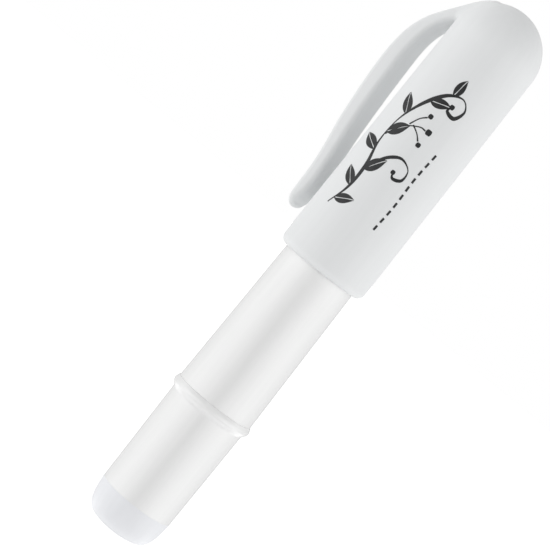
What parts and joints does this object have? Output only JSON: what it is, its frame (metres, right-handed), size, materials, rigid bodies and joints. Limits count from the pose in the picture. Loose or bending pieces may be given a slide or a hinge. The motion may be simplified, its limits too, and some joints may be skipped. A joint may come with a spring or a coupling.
{
  "type": "fabric chalk marking pen",
  "caption": "Slim chalk marking pen with a pull-off cap and pocket clip, a push-in powder cartridge and a toothed dosing wheel at the tip of its nose.",
  "frame": {"origin": "centre of the flat face on the pen's rear end", "axes": "+Z along the pen's axis from the rear end to the crown of the cap; the pocket clip is on the -X side and the dosing wheel turns about Y"},
  "size_m": [0.0277, 0.0202, 0.13],
  "materials": {
    "cap_plastic": "fine matte moulded surface, faintly cool white",
    "tube_plastic": "satin milky plastic that lets some light through",
    "plug_plastic": "satin moulded plastic, faintly bluish white",
    "nose_plastic": "satin moulded plastic",
    "soft_seal": "soft matte elastomer",
    "chalk": "loose, dusty white powder",
    "wheel_steel": "bright stamped steel"
  },
  "bodies": {
    "rear_plug": {"rear_plug": "plug_plastic"},
    "cartridge": {"cartridge_tube": "tube_plastic", "chalk_powder": "chalk", "cartridge_gasket": "soft_seal"},
    "barrel": {"barrel_sleeve": "tube_plastic", "powder_funnel": "nose_plastic", "nose_half_left": "nose_plastic", "nose_half_right": "nose_plastic", "wheel_axle": "wheel_steel"},
    "wheel": {"dosing_wheel": "wheel_steel"},
    "cap": {"cap_shell": "cap_plastic"},
    "clip": {"pocket_clip": "cap_plastic"}
  },
  "joints": [
    {"name": "plug_pull", "type": "slide", "parent": "rear_plug", "child": "cartridge", "axis": [0, 0, 1], "range_m": [0, 0.02]},
    {"name": "cartridge_pull", "type": "slide", "parent": "cartridge", "child": "barrel", "axis": [0, 0, 1], "range_m": [0, 0.06]},
    {"name": "cap_pull", "type": "slide", "parent": "barrel", "child": "cap", "axis": [0, 0, 1], "range_m": [0, 0.07]},
    {"name": "wheel_spin", "type": "hinge", "parent": "barrel", "child": "wheel", "pos_m": [0, 0, 0.1134], "axis": [0, 1, 0], "continuous": true},
    {"name": "clip_flex", "type": "hinge", "parent": "cap", "child": "clip", "pos_m": [-0.014, 0, 0.1172], "axis": [0, 1, 0], "range_deg": [0, 3], "stiffness_Nm_per_rad": 0.1}
  ]
}
